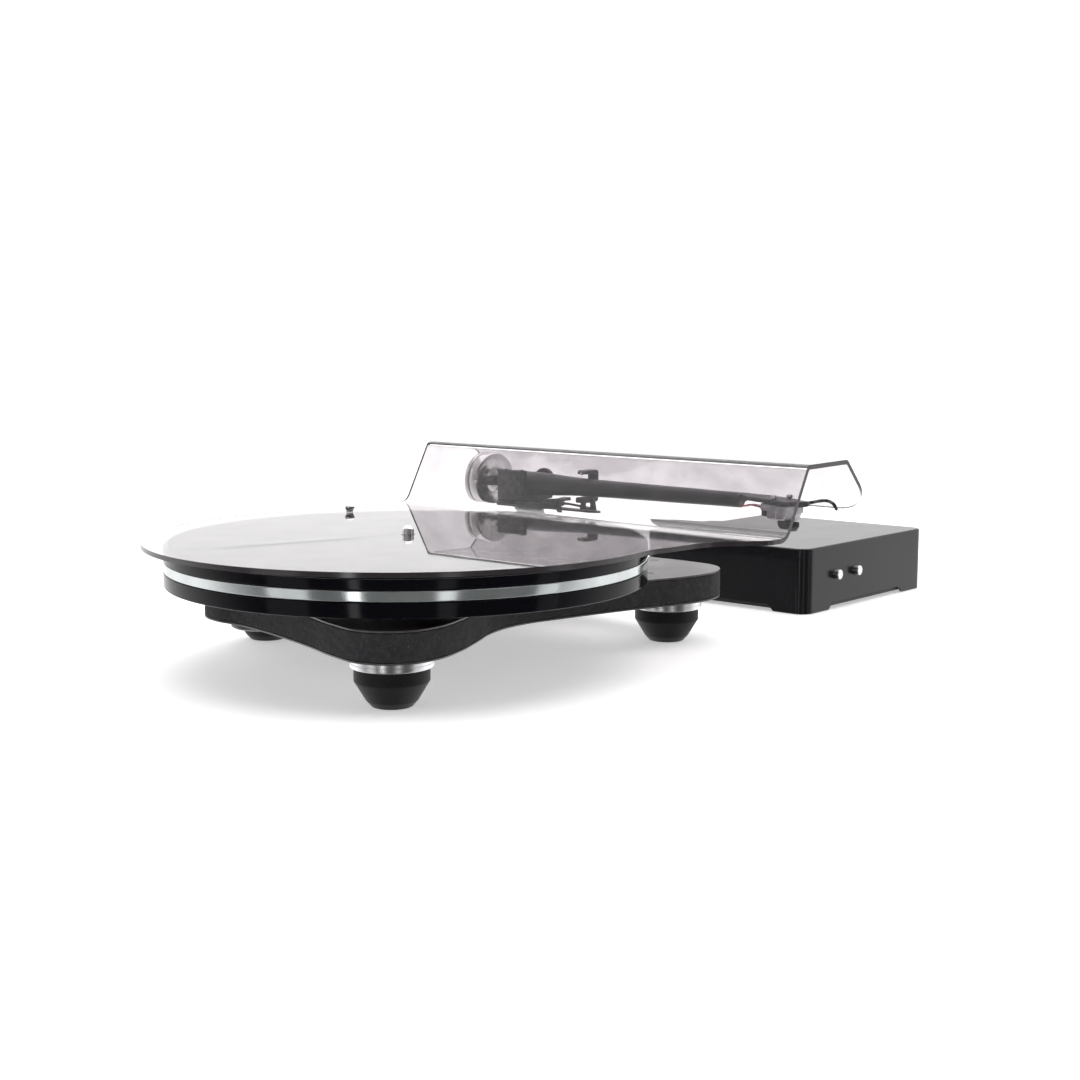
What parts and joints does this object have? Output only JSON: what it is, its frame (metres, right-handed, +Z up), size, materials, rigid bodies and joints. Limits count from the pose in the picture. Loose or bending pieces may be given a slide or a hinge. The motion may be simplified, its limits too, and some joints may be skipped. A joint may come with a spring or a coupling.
{
  "type": "turntable record player",
  "caption": "Skeletal belt-drive turntable with layered glass platter, hooded clear cover, pivoted tonearm and separate power box.",
  "frame": {"origin": "on the floor under the middle of the whole object's footprint", "axes": "+X to the tonearm side and the power box, -Y to the front, +Z up"},
  "size_m": [0.6464, 0.3504, 0.1244],
  "materials": {
    "foam_core": "rough charcoal paint over a light foam core",
    "laminate": "satin dark laminate skin",
    "dark_metal": "satin dark anodised metal",
    "polished_aluminium": "polished",
    "polished_steel": "polished",
    "bearing_brass": "turned",
    "black_rubber": "satin black",
    "black_glass": "black gloss glass",
    "pale_glass": "pale green polished glass",
    "mat_felt": "dark wool felt",
    "smoked_acrylic": "clear smoked gloss",
    "arm_black": "satin black coating on cast aluminium",
    "case_black": "satin black paint",
    "black_plastic": "matt moulded",
    "cartridge_grey": "glossy grey moulding",
    "circuit_board": "green solder mask",
    "copper_winding": "varnished winding",
    "lead_red": "soft insulation",
    "lead_white": "soft insulation",
    "lead_green": "soft insulation",
    "lead_blue": "soft insulation"
  },
  "bodies": {
    "deck": {"plinth_core": "foam_core", "plinth_top_skin": "laminate", "plinth_bottom_skin": "laminate", "top_brace": "dark_metal", "bottom_brace": "dark_metal", "foot_ring_front_left": "polished_aluminium", "foot_ring_front_right": "polished_aluminium", "foot_ring_rear": "polished_aluminium", "foot_rubber_front_left": "black_rubber", "foot_rubber_front_right": "black_rubber", "foot_rubber_rear": "black_rubber", "main_bearing_housing": "bearing_brass", "bearing_thrust_ball": "polished_steel", "motor_body": "dark_metal", "motor_mount_ring": "black_rubber", "motor_socket": "black_plastic", "drive_belt_upper": "black_rubber", "drive_belt_lower": "black_rubber", "arm_pillar": "polished_steel", "arm_pillar_nut": "polished_steel", "arm_mount_flange": "dark_metal", "arm_base_plate": "arm_black", "arm_base_block": "arm_black", "arm_rest_post": "arm_black"},
    "platter": {"spindle": "polished_steel", "sub_platter": "polished_aluminium", "platter_lower_glass": "black_glass", "platter_middle_glass": "pale_glass", "platter_top_glass": "black_glass", "platter_mat": "mat_felt"},
    "pulley": {"motor_pulley": "polished_aluminium"},
    "cover": {"dust_cover": "smoked_acrylic", "cover_knob": "polished_steel"},
    "yoke": {"bearing_yoke": "arm_black"},
    "arm": {"arm_tube": "arm_black", "tilt_pivot_pin": "polished_steel", "weight_shaft": "polished_steel", "cartridge_body": "cartridge_grey", "stylus_guard": "black_plastic", "cartridge_screw_left": "polished_steel", "cartridge_screw_right": "polished_steel", "cartridge_lead_red": "lead_red", "cartridge_lead_white": "lead_white", "cartridge_lead_green": "lead_green", "cartridge_lead_blue": "lead_blue", "finger_lift": "dark_metal"},
    "weight": {"counterweight": "polished_steel"},
    "dial": {"tracking_force_dial": "arm_black"},
    "bias": {"bias_slider": "black_plastic"},
    "lever": {"cue_lever": "dark_metal"},
    "lift": {"lift_platform": "arm_black"},
    "power_box": {"power_case": "case_black", "power_base": "black_plastic", "power_board": "circuit_board", "power_transformer": "copper_winding", "power_socket": "black_plastic", "motor_outlet": "black_plastic"},
    "power_key": {"power_button": "polished_aluminium"},
    "speed_key": {"speed_button": "polished_aluminium"}
  },
  "joints": [
    {"name": "platter_spin", "type": "hinge", "parent": "deck", "child": "platter", "pos_m": [-0.16025, 0.01225, 0.06], "axis": [0, 0, -1], "continuous": true},
    {"name": "pulley_spin", "type": "hinge", "parent": "deck", "child": "pulley", "pos_m": [-0.21825, 0.08425, 0.055], "axis": [0, 0, -1], "continuous": true},
    {"name": "cover_lift", "type": "slide", "parent": "deck", "child": "cover", "axis": [0, 0, 1], "range_m": [0, 0.15]},
    {"name": "arm_swing", "type": "hinge", "parent": "deck", "child": "yoke", "pos_m": [0.04575, 0.09225, 0.08], "axis": [0, 0, -1], "range_deg": [0, 33]},
    {"name": "arm_tilt", "type": "hinge", "parent": "yoke", "child": "arm", "pos_m": [0.04575, 0.09225, 0.093], "axis": [-1, 0, 0], "range_deg": [0, 3]},
    {"name": "counterweight_slide", "type": "slide", "parent": "arm", "child": "weight", "axis": [0, 1, 0], "range_m": [-0.007, 0.005]},
    {"name": "tracking_dial_turn", "type": "hinge", "parent": "yoke", "child": "dial", "pos_m": [0.06525, 0.09225, 0.0935], "axis": [1, 0, 0], "range_deg": [0, 300]},
    {"name": "bias_slide", "type": "slide", "parent": "deck", "child": "bias", "axis": [0, -1, 0], "range_m": [0, 0.014]},
    {"name": "cue_lever_turn", "type": "hinge", "parent": "deck", "child": "lever", "pos_m": [0.06275, 0.07425, 0.0775], "axis": [-1, 0, 0], "range_deg": [0, 45]},
    {"name": "lift_travel", "type": "slide", "parent": "deck", "child": "lift", "axis": [0, 0, 1], "range_m": [-0.0055, 0]},
    {"name": "power_box_place", "type": "slide", "parent": "deck", "child": "power_box", "axis": [1, 0, 0], "range_m": [0, 0.1]},
    {"name": "power_button_push", "type": "slide", "parent": "power_box", "child": "power_key", "axis": [0, 1, 0], "range_m": [0, 0.0025], "stiffness_N_per_m": 300},
    {"name": "speed_button_push", "type": "slide", "parent": "power_box", "child": "speed_key", "axis": [0, 1, 0], "range_m": [0, 0.0025], "stiffness_N_per_m": 300}
  ],
  "couplings": [
    {"joint": "pulley_spin", "follows": "platter_spin", "ratio": 6.625},
    {"joint": "arm_swing", "follows": "cover_lift", "rad_per_m": 3.75},
    {"joint": "cue_lever_turn", "follows": "lift_travel", "rad_per_m": -142.8}
  ]
}
